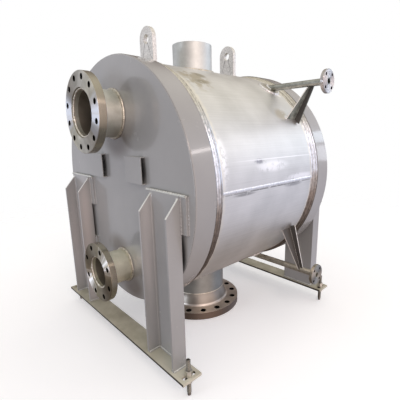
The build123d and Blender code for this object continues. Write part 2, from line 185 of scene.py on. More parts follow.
# Marks on it, some left by the workshop, with painted shade round the vent pad and under the seam's end: place, reach,
# colour, width of the grain in mm and how much of it is cut away
shellMarks = {
    "whitened smear": ((0.578, -0.002, 0.929), (0.05, 0.160, 0.036), "#FFFFFF", 38, 0.36),
    "dark touch beside it": ((0.573, -0.101, 0.957), (0.05, 0.045, 0.016), "#A6A6AC", 16, 0.34),
    "pale line above the seam": ((0.572, 0.055, 0.964), (0.05, 0.420, 0.0036), "#FAFAFA", 60, 0.30),
    "upper scuff by the front girth weld": ((0.285, -0.208, 1.351), (0.05, 0.055, 0.026), "#ABA594", 28, 0.32),
    "lower scuff": ((0.344, -0.242, 1.313), (0.05, 0.070, 0.022), "#AEA897", 28, 0.32),
    "scuffs round them": ((0.32, -0.265, 1.325), (0.16, 0.110, 0.11), "#C2BCAC", 40, 0.44),
    "whitened end of the seam": ((0.585, 0.240, 0.858), (0.05, 0.190, 0.024), "#FFFFFF", 34, 0.36),
    "shade under that end": ((0.585, 0.170, 0.822), (0.05, 0.105, 0.014), "#B3B4B5", 20, 0.34),
    "olive patch under the vent": ((0.478, 0.190, 1.176), (0.06, 0.070, 0.045), "#CDC8BB", 50, 0.34),
    "greyed band beside them": ((0.447, 0.129, 1.217), (0.07, 0.036, 0.085), "#D9DAD8", 60, 0.26),
    # Painted shade: a darker disc round the vent pad
    "painted shade round the vent pad": ((0.331, 0.290, 1.327), (0.08, 0.085, 0.08), "#A8A496", 30, 0.20),
    "whitened touch at the vent brace": ((0.491, 0.231, 1.158), (0.03, 0.026, 0.020), "#FFFFFF", 10, 0.30),
    "whitened touch under the vent pad": ((0.378, 0.307, 1.286), (0.03, 0.026, 0.020), "#FFFFFF", 10, 0.30),
    "whitened shell beside the front girth weld": ((0.565, -0.345, 0.975), (0.10, 0.050, 0.160), "#FFFFFF", 18, 0.40),
    "scratch below the seam": ((0.585, -0.211, 0.820), (0.05, 0.095, 0.010), "#ABACAC", 24, 0.32),
    "dark line below the seam": ((0.585, 0.0, 0.829), (0.05, 0.60, 0.0045), "#9C9D9E", 30, 0.34),
    "darker patch at the bottom": ((0.30, 0.10, 0.345), (0.20, 0.35, 0.07), "#A3978A", 40, 0.44),
}


def makeShellSteel():
    material, tree, shader, place = startMaterial("pickledStainless", metallic=1.0)
    cloud = addNode(tree, "TexNoise", {"Scale": perMetre(shellSettings["cloud"]), "Detail": 5.0}, {"Vector": place})
    along = shellSettings["line"] / shellSettings["lineLength"]
    stretch = addNode(tree, "Mapping", {"Scale": (1.0, along, 1.0)}, {"Vector": place})
    lines = addNode(tree, "TexNoise", {"Scale": perMetre(shellSettings["line"]), "Detail": 3.0}, {"Vector": stretch})
    mixed = addNode(tree, "Math", {"operation": "MULTIPLY_ADD", 1: shellSettings["lineShare"]}, {0: lines, 2: cloud})
    colour = addNode(tree, "ValToRGB", {"stops": ((0.42, shellSettings["dark"]), (0.85, shellSettings["light"]))},
                     {"Fac": mixed})
    for centre, size, tone, width, cut in shellMarks.values():
        fade = softSpot(tree, place, centre, size, 0.3)
        grain = addNode(tree, "TexNoise", {"Scale": perMetre(width), "Detail": 5.0, "Roughness": 0.6},
                        {"Vector": place})
        broken = addNode(tree, "MapRange", {"From Min": cut, "From Max": cut + shellSettings["tear"]}, {"Value": grain})
        mask = addNode(tree, "Math", {"operation": "MULTIPLY"}, {0: fade, 1: broken})
        colour = addNode(tree, "Mix", {"data_type": "RGBA", over: linear(tone)}, {share: mask, under: colour})
    # Brushed bands beside the girth welds, with a torn inner edge
    part = addNode(tree, "SeparateXYZ", {}, {0: place})
    outside = addNode(tree, "Math", {"operation": "ABSOLUTE"}, {0: part.outputs["Y"]})
    torn = addNode(tree, "TexNoise", {"Scale": perMetre(shellSettings["torn"]), "Detail": 4.0}, {"Vector": place})
    edge = addNode(tree, "Math", {"operation": "MULTIPLY_ADD", 1: shellSettings["tornDepth"]}, {0: torn, 2: outside})
    near, far = shellSettings["brushed"]
    band = addNode(tree, "MapRange", {"From Min": near, "From Max": far, "To Max": 0.8}, {"Value": edge})
    colour = addNode(tree, "Mix", {"data_type": "RGBA", over: linear(shellSettings["brushedColour"])},
                     {share: band, under: colour})
    finishSurface(tree, shader, colour, shellSettings["gloss"], cloud, lines, 0.25, shellSettings["lineDepth"])
    return material


shellSteel = makeShellSteel()

# Turned stainless: fine rings round each flange's own axis and soft olive clouds
flangeSettings = {"dark": "#A19F94", "light": "#D8D6CC", "ring": 3.0, "ringDepth": 0.00015, "cloud": 60,
                  "gloss": (0.36, 0.44), "turned": 1.0, "rim": "#ABA698", "rimGloss": 0.26, "paintedHoleShade": "#1E1C19",
                  "streaks": 9.0, "fanWidth": 0.25}


def makeTurnedSteel(name, centre, axis, holes, **changes):
    # Holes are given by the radius of their circle and their own radius
    settings = {**flangeSettings, **changes}
    material, tree, shader, place = startMaterial(name, metallic=1.0)
    centred = addNode(tree, "VectorMath", {"operation": "SUBTRACT", 1: centre}, {0: place})
    rings = addNode(tree, "TexWave", {"wave_type": "RINGS", "rings_direction": axis, "Distortion": 0.4, "Detail": 1.0,
                                      "Scale": perMetre(settings["ring"]) / 20}, {"Vector": centred})
    cloud, colour = cloudyTint(tree, place, settings, 5.0, 0.6)
    flat = tuple(0.0 if letter == axis else 1.0 for letter in "XYZ")
    spread = addNode(tree, "VectorMath", {"operation": "MULTIPLY", 1: flat}, {0: centred})
    if "fan" in settings:
        # Two opposite fans on the face, broken into streaks, are painted bright: a painted highlight of the lathe
        # finish
        outward = addNode(tree, "VectorMath", {"operation": "NORMALIZE"}, {0: spread})
        aside = addNode(tree, "VectorMath", {"operation": "DOT_PRODUCT", 1: settings["fan"]}, {0: outward})
        either = addNode(tree, "Math", {"operation": "ABSOLUTE"}, {0: aside})
        streaks = addNode(tree, "TexNoise", {"Scale": settings["streaks"], "Detail": 3.0}, {"Vector": outward})
        uneven = addNode(tree, "Math", {"operation": "MULTIPLY_ADD", 1: 0.5}, {0: streaks, 2: either})
        gleam = addNode(tree, "MapRange", {"From Min": settings["fanFrom"],
                                           "From Max": settings["fanFrom"] + settings["fanWidth"]}, {"Value": uneven})
        colour = addNode(tree, "Mix", {"data_type": "RGBA", over: linear(settings["gleam"])},
                         {share: gleam, under: colour})
    # Rims are duller than the faces, and the bolt holes are painted dark inside as painted shade
    facing = addNode(tree, "SeparateXYZ", {}, {0: addNode(tree, "NewGeometry").outputs["True Normal"]})
    ahead = addNode(tree, "Math", {"operation": "ABSOLUTE"}, {0: facing.outputs[axis]})
    sideways = addNode(tree, "Math", {"operation": "LESS_THAN", 1: 0.5}, {0: ahead})
    rim = addNode(tree, "Mix", {"data_type": "RGBA", over: linear(settings["rim"])}, {share: sideways, under: colour})
    spoke = addNode(tree, "VectorMath", {"operation": "LENGTH"}, {0: spread})
    onCircle = addNode(tree, "Math", {"operation": "COMPARE", 1: holes[0], 2: holes[1]}, {0: spoke})
    wall = addNode(tree, "Math", {"operation": "MULTIPLY"}, {0: onCircle, 1: sideways})
    colour = addNode(tree, "Mix", {"data_type": "RGBA", over: linear(settings["paintedHoleShade"])}, {share: wall, under: rim})
    if "hub" in settings:
        # The hub keeps the colour of its neck, with a pale ring where it meets the plate that is a painted highlight of
        # glints on the fillet
        part = addNode(tree, "SeparateXYZ", {}, {0: place})
        lowest, highest = settings["hubHeight"]
        height = addNode(tree, "MapRange", {"From Min": lowest, "From Max": highest}, {"Value": part.outputs["Z"]})
        hub = addNode(tree, "ValToRGB", {"stops": settings["hub"]}, {"Fac": height})
        above = addNode(tree, "Math", {"operation": "GREATER_THAN", 1: lowest}, {0: part.outputs["Z"]})
        colour = addNode(tree, "Mix", {"data_type": "RGBA"}, {share: above, under: colour, over: hub})
    roughness = finishSurface(tree, shader, colour, settings["gloss"], cloud, rings.outputs["Fac"], 0.3,
                              settings["ringDepth"])
    # Sockets 2 and 3 of a plain mix are its two values
    smoother = addNode(tree, "Mix", {3: settings["rimGloss"]}, {share: sideways, 2: roughness})
    # Lathe grooves stretch each highlight across them, which adds real highlights to the painted fans on the faces
    groove = addNode(tree, "Tangent", {"direction_type": "RADIAL", "axis": axis})
    setNode(tree, shader, {"Anisotropic": settings["turned"], "Anisotropic Rotation": 0.25},
            {"Roughness": smoother, "Tangent": groove})
    return material


upperTurned = makeTurnedSteel("turnedStainlessUpper", (0, -0.658, 1.17845), "Y", (0.155, 0.0145),
                              fan=(0.99, 0, -0.12), fanFrom=1.0, gleam="#D3D8DF")
lowerTurned = makeTurnedSteel("turnedStainlessLower", (0, -0.658, 0.41015), "Y", (0.125, 0.0145),
                              dark="#807966", light="#A59E8A", fan=(0.77, 0, 0.64), fanFrom=1.1, gleam="#FFFFFF")
# The bottom flange's face is painted light to offset the shade under the shell, against a dark rim: painted light
bottomTurned = makeTurnedSteel("turnedStainlessBottom", (0, 0, 0.008), "Z", (0.225, 0.018),
                               dark="#E0D6CC", light="#FAF0E6", rim="#6D6158", rimGloss=0.4, turned=0.5,
                               hubHeight=(0.054, 0.124),
                               hub=((0.0, "#D6D0C8"), (0.08, "#D6D0C8"), (0.16, "#928C84"), (1.0, "#A8A49D")))
ventTurned = makeTurnedSteel("turnedStainlessVent", (0.686, 0.29, 1.327), "X", (0.0425, 0.008),
                             dark="#B9B7B6", light="#E0DEDE", rim="#B9B7B6")
drainTurned = makeTurnedSteel("turnedStainlessDrain", (0.686, 0.29, 0.303), "X", (0.0425, 0.008),
                              dark="#8C8982", light="#B4B1AA")

# Drawn pipe and rolled strip: satin and cloudy, with a fine grain
satinSettings = {"cloud": 30, "gloss": (0.26, 0.42), "grain": 2.5, "grainDepth": 0.0002}


def makeSatinSteel(name, dark, light, **changes):
    settings = {**satinSettings, "dark": dark, "light": light, **changes}
    material, tree, shader, place = startMaterial(name, metallic=1.0)
    cloud, colour = cloudyTint(tree, place, settings, 6.0, 0.6)
    if "bore" in settings:
        # Inside the pipe, deeper than a bright turned lip behind the flange face, it is painted darker as painted shade
        bore = settings["bore"]
        part = addNode(tree, "SeparateXYZ", {}, {0: place})
        flat = addNode(tree, "VectorMath", {"operation": "MULTIPLY", 1: (1, 0, 1)}, {0: place})
        spoke = addNode(tree, "VectorMath", {"operation": "DISTANCE", 1: (0, 0, bore["height"])}, {0: flat})
        inside = addNode(tree, "Math", {"operation": "LESS_THAN", 1: bore["wall"]}, {0: spoke})
        behind = addNode(tree, "Math", {"operation": "GREATER_THAN", 1: bore["lip"]}, {0: part.outputs["Y"]})
        dull = addNode(tree, "Math", {"operation": "MULTIPLY"}, {0: inside, 1: behind})
        colour = addNode(tree, "Mix", {"data_type": "RGBA", over: linear(bore["colour"])}, {share: dull, under: colour})
    grain = addNode(tree, "TexNoise", {"Scale": perMetre(settings["grain"]), "Detail": 2.0}, {"Vector": place})
    finishSurface(tree, shader, colour, settings["gloss"], cloud, grain, 0.3, settings["grainDepth"])
    return material


upperNeckSteel = makeSatinSteel("drawnStainlessUpperNeck", "#D3D4C9", "#F0F2EB", cloud=70, gloss=(0.4, 0.54), bore={
    "height": 1.17845, "wall": 0.1055, "lip": -0.630, "colour": "#A8A297"})
lowerNeckSteel = makeSatinSteel("drawnStainlessLowerNeck", "#E6E4D0", "#FFFFEE", cloud=70, gloss=(0.4, 0.54), bore={
    "height": 0.41015, "wall": 0.0806, "lip": -0.634, "colour": "#A8A297"})
bottomNeckSteel = makeSatinSteel("dulledBottomNeck", "#868885", "#9FA29F", cloud=140, gloss=(0.34, 0.44))
pipeSteel = makeSatinSteel("dulledSmallPipe", "#898C87", "#B6B9B3")
lowPipeSteel = makeSatinSteel("paleSmallPipe", "#A9A699", "#D4D2C5", gloss=(0.4, 0.55))
stubSteel = makeSatinSteel("brightStainlessStub", "#C6CAC8", "#DCE0DE", cloud=60, gloss=(0.46, 0.58))
lugSteel = makeSatinSteel("mottledLugPlate", "#C4C3BF", "#F8F7F3", cloud=7, gloss=(0.45, 0.6))
screwSteel = makeSatinSteel("dulledScrewSteel", "#6F6C66", "#A6A39C", cloud=8, gloss=(0.3, 0.45))
nutSteel = makeSatinSteel("brightZincNut", "#ABAAA2", "#E2E1DA", cloud=8, gloss=(0.26, 0.4))
packSteel = makeSatinSteel("stackedPlateEdges", "#7C7974", "#A5A29C", cloud=12, gloss=(0.3, 0.45))
weldSteel = makeSatinSteel("stainlessWeldBead", "#B6B0A2", "#E9E6DC", cloud=18, gloss=(0.34, 0.46), grainDepth=0.0004)
seamSteel = makeSatinSteel("brushedSeamBead", "#DADBDF", "#FFFFFF", cloud=14, gloss=(0.28, 0.4))

# Rolled angle: mottled faces, with painted shade on those turned to the front and painted highlights on the edges
braceSettings = {"dark": "#6F7671", "light": "#A0A8A1", "scale": "#5B5957", "braceEdgeHighlight": "#F2F1EE", "cloud": 25,
                 "gloss": (0.45, 0.6), "back": 0.2785, "low": 0.6}


def makeBraceSteel():
    material, tree, shader, place = startMaterial("rolledAngleSteel", metallic=0.4)
    part = addNode(tree, "SeparateXYZ", {}, {0: place})
    facing = addNode(tree, "SeparateXYZ", {}, {0: addNode(tree, "NewGeometry").outputs["True Normal"]})
    forward = addNode(tree, "Math", {"operation": "LESS_THAN", 1: -0.5}, {0: facing.outputs["Y"]})
    outward = addNode(tree, "Math", {"operation": "GREATER_THAN", 1: 0.5}, {0: facing.outputs["X"]})
    back = addNode(tree, "Math", {"operation": "GREATER_THAN", 1: braceSettings["back"]}, {0: part.outputs["Y"]})
    wide = addNode(tree, "Math", {"operation": "LESS_THAN", 1: braceSettings["back"]}, {0: part.outputs["Y"]})
    low = addNode(tree, "Math", {"operation": "LESS_THAN", 1: braceSettings["low"]}, {0: part.outputs["Z"]})
    lower = addNode(tree, "Math", {"operation": "MULTIPLY"}, {0: outward, 1: low})
    cloud, colour = cloudyTint(tree, place, braceSettings, 5.0, low=0.35, high=0.65)
    # Painted shade (the scale tone) goes on the rib and the lower brace's wide leg, painted highlights on that leg's
    # shin and heel
    for tone, first, second in (("scale", (forward, back), (lower, wide)), ("braceEdgeHighlight", (forward, wide), (lower, back))):
        masks = [addNode(tree, "Math", {"operation": "MULTIPLY"}, {0: pair[0], 1: pair[1]}) for pair in (first, second)]
        either = addNode(tree, "Math", {"operation": "MAXIMUM"}, {0: masks[0], 1: masks[1]})
        colour = addNode(tree, "Mix", {"data_type": "RGBA", over: linear(braceSettings[tone])},
                         {share: either, under: colour})
    finishSurface(tree, shader, colour, braceSettings["gloss"], cloud)
    return material


braceSteel = makeBraceSteel()

# Girth welds, painted light and shade by height: straw on top, a bright painted highlight above mid height and bronze
# painted shade below; dark along the edges and between passes
girthTints = {"height": (0.24, 1.44), "across": (0.346, 0.398), "wander": 60, "wanderShare": 0.12, "gloss": (0.24, 0.5),
              "paintedLightByHeight": ((0.0, "#8E8378"), (0.42, "#98908A"), (0.49, "#B9B8B7"), (0.54, "#E6F1FF"), (0.68, "#E6F1FF"),
                           (0.80, "#ECEAE2"), (1.0, "#E6E2D5")),
              "grain": 14, "grainDepth": 0.001, "spots": ((0.3, "#D2D2D2"), (0.5, "#F4F4F4"), (0.62, "#FFFFFF")),
              "byWidth": ((0.0, "#75706A"), (0.08, "#FFFFFF"), (0.20, "#FFFFFF"), (0.27, "#A5A29E"), (0.34, "#F4F4F4"),
                          (0.60, "#EEEEEE"), (0.67, "#B6B4B0"), (0.74, "#FFFFFF"), (0.92, "#E8E8E8"), (1.0, "#65605A"))}


def makeGirthSteel():
    material, tree, shader, place = startMaterial("girthWeldPaintedLight", metallic=1.0)
    part = addNode(tree, "SeparateXYZ", {}, {0: place})
    wander = addNode(tree, "TexNoise", {"Scale": perMetre(girthTints["wander"]), "Detail": 4.0}, {"Vector": place})
    lowest, highest = girthTints["height"]
    height = addNode(tree, "MapRange", {"From Min": lowest, "From Max": highest}, {"Value": part.outputs["Z"]})
    sway = girthTints["wanderShare"]
    shifted = addNode(tree, "Math", {"operation": "MULTIPLY_ADD", 1: sway}, {0: wander, 2: height})
    centred = addNode(tree, "Math", {"operation": "SUBTRACT", 1: sway / 2}, {0: shifted})
    # The colour by height is painted light and shade
    heat = addNode(tree, "ValToRGB", {"stops": girthTints["paintedLightByHeight"]}, {"Fac": centred})
    outside = addNode(tree, "Math", {"operation": "ABSOLUTE"}, {0: part.outputs["Y"]})
    near, far = girthTints["across"]
    across = addNode(tree, "MapRange", {"From Min": near, "From Max": far}, {"Value": outside})
    passes = addNode(tree, "ValToRGB", {"stops": girthTints["byWidth"]}, {"Fac": across})
    grain = addNode(tree, "TexNoise", {"Scale": perMetre(girthTints["grain"]), "Detail": 3.0, "Roughness": 0.6},
                    {"Vector": place})
    spots = addNode(tree, "ValToRGB", {"stops": girthTints["spots"]}, {"Fac": grain})
    colour = heat
    for layer in (passes, spots):
        colour = addNode(tree, "Mix", {"data_type": "RGBA", "blend_type": "MULTIPLY", share: 1.0},
                         {under: colour, over: layer})
    finishSurface(tree, shader, colour, girthTints["gloss"], wander, grain, 0.25, girthTints["grainDepth"])
    return material


girthSteel = makeGirthSteel()
print("materials made:", len(bpy.data.materials))

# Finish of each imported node
legs = [f"{corner}_leg" for corner in corners]
legPads = [f"{leg}_pad" for leg in legs]
endPlates = ("front_end_plate", "rear_end_plate")
brackets = ("left_nameplate_bracket", "right_nameplate_bracket")
basePlates = ("front_base_plate", "rear_base_plate")
lugs = ("front_lifting_lug", "rear_lifting_lug")
braces = ("vent_brace", "drain_brace")
finishes = {
    greyPaint: (*endPlates, *brackets, *legs, *legPads, *(f"{leg}_spacer" for leg in legs)),
    basePaint: basePlates,
    shellSteel: ("shell", "vent_pad", "drain_pad"),
    stubSteel: ("top_nozzle_stub",),
    upperNeckSteel: ("upper_nozzle_neck",),
    lowerNeckSteel: ("lower_nozzle_neck",),
    bottomNeckSteel: ("bottom_nozzle_neck",),
    pipeSteel: ("vent_pipe",),
    lowPipeSteel: ("drain_pipe",),
    braceSteel: braces,
    upperTurned: ("upper_nozzle_flange",),
    lowerTurned: ("lower_nozzle_flange",),
    bottomTurned: ("bottom_nozzle_flange",),
    ventTurned: ("vent_flange",),
    drainTurned: ("drain_flange",),
    weldSteel: ("front_girth_weld", "rear_girth_weld", "shell_seam_weld"),
    packSteel: ("plate_pack",),
    lugSteel: lugs,
    screwSteel: [f"{corner}_levelling_screw" for corner in corners],
    nutSteel: ("levelling_nuts",),
}
for material, names in finishes.items():
    for name in names:
        slots = cadNodes[name].data.materials
        slots.clear()
        slots.append(material)
print("finishes given to", sum(len(names) for names in finishes.values()), "nodes")


def startPoint(place):
    # A plane merged into one vertex, ready to be extruded into a path or a profile
    bpy.ops.object.select_all(action="DESELECT")
    bpy.ops.mesh.primitive_plane_add(size=0.01)
    bpy.ops.object.mode_set(mode="EDIT")
    bpy.ops.mesh.select_all(action="SELECT")
    bpy.ops.mesh.merge(type="CENTER")
    bpy.ops.transform.translate(value=place)


def tracePath(points, cuts=0, closed=False):
    # Edges from point to point, divided evenly
    startPoint(points[0])
    for before, after in zip(points, points[1:]):
        bpy.ops.mesh.extrude_region_move(TRANSFORM_OT_translate={"value": Vector(after) - Vector(before)})
    bpy.ops.mesh.select_all(action="SELECT")
    if closed:
        bpy.ops.mesh.edge_face_add()
        bpy.ops.mesh.delete(type="ONLY_FACE")
        bpy.ops.mesh.select_all(action="SELECT")
    if cuts:
        bpy.ops.mesh.subdivide(number_cuts=cuts)
    bpy.ops.object.mode_set(mode="OBJECT")


def traceRing(centre, radius, axis, spacing=0.0022):
    # Circle of vertices about an axis through its centre
    bpy.ops.object.select_all(action="DESELECT")
    turn = Vector(axis).to_track_quat("Z", "Y").to_euler()
    count = 2 * round(math.pi * radius / spacing)
    bpy.ops.mesh.primitive_circle_add(vertices=count, radius=radius, location=centre, rotation=turn)


def spinProfile(points, centre, axis, steps, closed=False):
    # Profile turned once round an axis
    tracePath(points, closed=closed)
    bpy.ops.object.mode_set(mode="EDIT")
    bpy.ops.mesh.select_all(action="SELECT")
    bpy.ops.mesh.spin(steps=steps, angle=2 * math.pi, center=centre, axis=axis)
    bpy.ops.mesh.select_all(action="SELECT")
    bpy.ops.mesh.remove_doubles(threshold=0.00001)
    bpy.ops.mesh.normals_make_consistent(inside=False)
    bpy.ops.object.mode_set(mode="OBJECT")


def roughen(size, depth, direction="NORMAL"):
    # Lumps of about this size pushed into the active piece, or a sideways wander along one axis
    piece = bpy.context.active_object
    texture = bpy.data.textures.new("lumps", "CLOUDS")
    texture.noise_scale = size
    lumps = piece.modifiers.new("lumps", "DISPLACE")
    lumps.texture = texture
    lumps.texture_coords = "GLOBAL"
    lumps.strength = depth
    lumps.direction = direction
    bpy.ops.object.modifier_apply(modifier="lumps")


def layBead(radius, onto=None, ripple=0.1, lump=0.012, depth=0.4):
    # Weld metal along the active path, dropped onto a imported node, rippled and lumpy
    piece = bpy.context.active_object
    if onto:
        drop = piece.modifiers.new("drop", "SHRINKWRAP")
        drop.target = cadNodes[onto]
        drop.wrap_method = "PROJECT"
        drop.use_project_z = True
        drop.use_negative_direction = True
        bpy.ops.object.modifier_apply(modifier="drop")
    bpy.ops.object.convert(target="CURVE")
    curve = bpy.context.active_object.data
    curve.bevel_depth = radius
    curve.bevel_resolution = 2
    curve.use_fill_caps = True
    for spline in curve.splines:
        for number, point in enumerate(spline.points):
            point.radius = 1.0 + ripple * math.cos(number * math.pi / 2)
    bpy.ops.object.convert(target="MESH")
    bpy.ops.object.transform_apply(location=True, rotation=True, scale=True)
    roughen(lump, radius * depth)
    return bpy.context.active_object


def joinPieces(pieces):
    bpy.ops.object.select_all(action="DESELECT")
    for piece in pieces:
        piece.select_set(True)
    bpy.context.view_layer.objects.active = pieces[0]
    bpy.ops.object.join()


def copyTo(piece, place):
    # A copy of the piece, moved from the origin and left active
    bpy.ops.object.select_all(action="DESELECT")
    piece.select_set(True)
    bpy.context.view_layer.objects.active = piece
    bpy.ops.object.duplicate()
    bpy.ops.transform.translate(value=place)
    return bpy.context.active_object


def finishPiece(name, material, slotName, *replaced):
    # Names the active piece, sets its place into the mesh and gives it its finish
    piece = bpy.context.active_object
    piece.name = name
    bpy.ops.object.select_all(action="DESELECT")
    piece.select_set(True)
    bpy.ops.object.transform_apply(location=True, rotation=True, scale=True)
    bpy.ops.object.shade_smooth_by_angle(angle=math.radians(38))
    piece.data.materials.clear()
    piece.data.materials.append(material)
    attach(piece, "root")
    if replaced:
        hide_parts(*replaced)
    print("piece:", name, len(piece.data.polygons), "faces")
    return piece


# Girth welds: rings of side by side passes from each end plate down to the shell
girthSettings = {"width": 0.052, "lap": 0.006, "top": 0.598, "crown": 0.003, "passes": 4, "passRise": 0.004,
                 "pointsPerPass": 7, "root": 0.583, "steps": 480, "wander": (0.05, 0.007),
                 "lumps": ((0.016, 0.003), (0.006, 0.0012))}


def makeGirthBead(name, end):
    width, lap, top, root = (girthSettings[key] for key in ("width", "lap", "top", "root"))
    passes, rise, edge = girthSettings["passes"], girthSettings["passRise"], vessel["halfShell"]
    count = passes * girthSettings["pointsPerPass"]
    profile = []
    for number in range(count + 1):
        along = number / count
        scallop = abs(math.sin(math.pi * passes * along)) * rise
        level = top + (vessel["shellRadius"] - top) * along
        level += girthSettings["crown"] * math.sin(math.pi * along) + scallop - rise
        profile.append((level, end * (edge + lap - (width + lap) * along), axisHeight))
    profile.append((root, end * (edge - width), axisHeight))
    profile.append((root, end * (edge + lap), axisHeight))
    spinProfile(profile, (0, 0, axisHeight), (0, 1, 0), girthSettings["steps"], closed=True)
    roughen(*girthSettings["wander"], "Y")
    for size, depth in girthSettings["lumps"]:
        roughen(size, depth)
    finishPiece(f"{name}GirthBead", girthSteel, "weld_metal", f"{name}_girth_weld")


for endName, end in ends:
    makeGirthBead(endName, end)

# Seam weld: one low rippled bead along the shell
seamSettings = {"half": 0.350, "cuts": 280, "radius": 0.0076, "flatten": 0.34, "sink": 0.0005,
                "ripple": 0.08, "lump": 0.06, "lumpDepth": 0.35}


def makeSeamBead():
    half, line = seamSettings["half"], vessel["shellRadius"] - seamSettings["sink"]
    tracePath([(line, -half, axisHeight), (line, half, axisHeight)], seamSettings["cuts"])
    layBead(seamSettings["radius"], None, seamSettings["ripple"], seamSettings["lump"], seamSettings["lumpDepth"])
    bpy.ops.object.mode_set(mode="EDIT")
    bpy.ops.mesh.select_all(action="SELECT")
    bpy.ops.transform.resize(value=(seamSettings["flatten"], 1, 1), center_override=(line, 0, axisHeight))
    bpy.ops.object.mode_set(mode="OBJECT")
    finishPiece("shellSeamBead", seamSteel, "weld_metal", "shell_seam_weld")


makeSeamBead()

# Nozzle welds: lumpy fillets where each neck meets the cover, its flange or the shell
nozzleSettings = {
    "upper": {"radius": 0.10955, "bore": 0.10155, "height": 1.17845, "back": -0.620},
    "lower": {"radius": 0.08415, "bore": 0.07705, "height": 0.41015, "back": -0.626},
    "neckEnd": -0.649, "coverBead": 0.0065, "coverGap": 0.002, "flangeBead": 0.005, "flangeGap": 0.001,
    "innerBead": 0.005,
    "stub": {"radius": 0.10955, "bead": 0.008, "height": 1.45, "onto": "shell", "gap": 0.003},
    "bottom": {"radius": 0.16195, "bead": 0.009, "height": 0.27, "onto": "shell", "gap": 0.003},
    "butt": {"radius": 0.1605, "bead": 0.0035, "height": 0.123, "onto": None, "gap": 0.0},
}


def makeNozzleWelds():
    beads = []
    coverGap = nozzleSettings["coverGap"]
    for name in ("upper", "lower"):
        nozzle = nozzleSettings[name]
        for along, radius, bead in (
                (-vessel["halfVessel"] - coverGap, nozzle["radius"] + coverGap, nozzleSettings["coverBead"]),
                (nozzle["back"], nozzle["radius"] + nozzleSettings["flangeGap"], nozzleSettings["flangeBead"]),
                (nozzleSettings["neckEnd"], (nozzle["radius"] + nozzle["bore"]) / 2, nozzleSettings["innerBead"])):
            traceRing((0, along, nozzle["height"]), radius, (0, -1, 0))
            beads.append(layBead(bead))
    for name in ("stub", "bottom", "butt"):
        nozzle = nozzleSettings[name]
        traceRing((0, 0, nozzle["height"]), nozzle["radius"] + nozzle["gap"], (0, 0, 1))
        beads.append(layBead(nozzle["bead"], onto=nozzle["onto"]))
    joinPieces(beads)
    finishPiece("nozzleWelds", weldSteel, "weld_metal")


makeNozzleWelds()

# Branch welds: round each pad, round the pipe on its pad and behind each small flange
branchSettings = {"offset": 0.290, "flangeBack": 0.668, "pipe": 0.01685, "pad": 0.056,
                  "rises": {"vent": 0.487, "drain": -0.537},
                  "padGap": 0.002, "padBead": 0.0065, "pipeOut": 0.02, "pipeGap": 0.0022, "pipeBead": 0.0045,
                  "flangeBead": 0.004, "spacing": 0.002}


def makeBranchWelds():
    beads = []
    offset, pipe, spacing = branchSettings["offset"], branchSettings["pipe"], branchSettings["spacing"]
    for name, rise in branchSettings["rises"].items():
        level = axisHeight + rise
        rootX = math.sqrt(vessel["shellRadius"] ** 2 - rise ** 2)
        traceRing((rootX, offset, level), branchSettings["pad"] + branchSettings["padGap"], (rootX, 0, rise))
        beads.append(layBead(branchSettings["padBead"], onto="shell"))
        traceRing((rootX + branchSettings["pipeOut"], offset, level), pipe + branchSettings["pipeGap"], (1, 0, 0),
                  spacing)
        beads.append(layBead(branchSettings["pipeBead"], onto=f"{name}_pad"))
        traceRing((branchSettings["flangeBack"], offset, level), pipe, (1, 0, 0), spacing)
        beads.append(layBead(branchSettings["flangeBead"]))
    joinPieces(beads)
    finishPiece("branchWelds", seamSteel, "weld_metal")


makeBranchWelds()

# Lug welds: a fillet all round the foot of each lifting lug
lugSettings = {"half": 0.059, "offset": 0.288, "thick": 0.022, "height": 1.44, "bead": 0.006, "gap": 0.002, "cuts": 15}


def makeLugWelds():
    beads = []
    gap, height = lugSettings["gap"], lugSettings["height"]
    half = lugSettings["half"] + gap
    for endName, end in ends:
        near, far = (end * lugSettings["offset"] + side * (lugSettings["thick"] / 2 + gap) for side in (-1, 1))
        outline = [(-half, near, height), (half, near, height), (half, far, height), (-half, far, height)]
        tracePath(outline, lugSettings["cuts"], closed=True)
        beads.append(layBead(lugSettings["bead"], onto="shell"))
    joinPieces(beads)
    finishPiece("lugWelds", weldSteel, "weld_metal")


makeLugWelds()

# Support welds, painted over: leg tops, legs on pads, pads on end plates and leg feet
legSettings = {"centre": 0.420, "half": 0.100, "padHalf": 0.135, "top": 0.850, "padFoot": 0.693, "back": 0.520,
               "front": 0.588, "web": 0.530, "fin": 0.0875, "floor": 0.095,
               "beads": {"top": (0.0065, 66), "side": (0.005, 40), "pad": (0.0045, 50), "foot": (0.0055, 30)}}


def makeSupportWelds(name, end):
    tops, beads = [], []
    half, padHalf, fin = (legSettings[key] for key in ("half", "padHalf", "fin"))
    top, foot, floor = (legSettings[key] for key in ("top", "padFoot", "floor"))
    front, back, web = (end * legSettings[key] for key in ("front", "back", "web"))
    plate = end * vessel["halfVessel"]
    for sideName, side in sides:
        centre = side * legSettings["centre"]
        paths = (
            ("top", ((centre - padHalf, back, top), (centre + padHalf, back, top))),
            ("side", ((centre - half, back, top), (centre - half, back, foot))),
            ("side", ((centre + half, back, top), (centre + half, back, foot))),
            ("pad", ((centre - padHalf, plate, top), (centre - padHalf, plate, foot),
                     (centre + padHalf, plate, foot), (centre + padHalf, plate, top))),
            ("foot", ((centre - half, front, floor), (centre - half, back, floor),
                      (centre + half, back, floor), (centre + half, front, floor))),
            ("foot", ((centre - fin, front, floor), (centre - fin, web, floor),
                      (centre + fin, web, floor), (centre + fin, front, floor))),
        )
        for kind, points in paths:
            radius, cuts = legSettings["beads"][kind]
            tracePath(points, cuts)
            (tops if kind == "top" else beads).append(layBead(radius))
    joinPieces(tops)
    finishPiece(f"{name}LegTopWelds", beadPaint, "painted_steel")
    joinPieces(beads)
    finishPiece(f"{name}SupportWelds", greyPaint, "painted_steel")


for endName, end in ends:
    makeSupportWelds(endName, end)

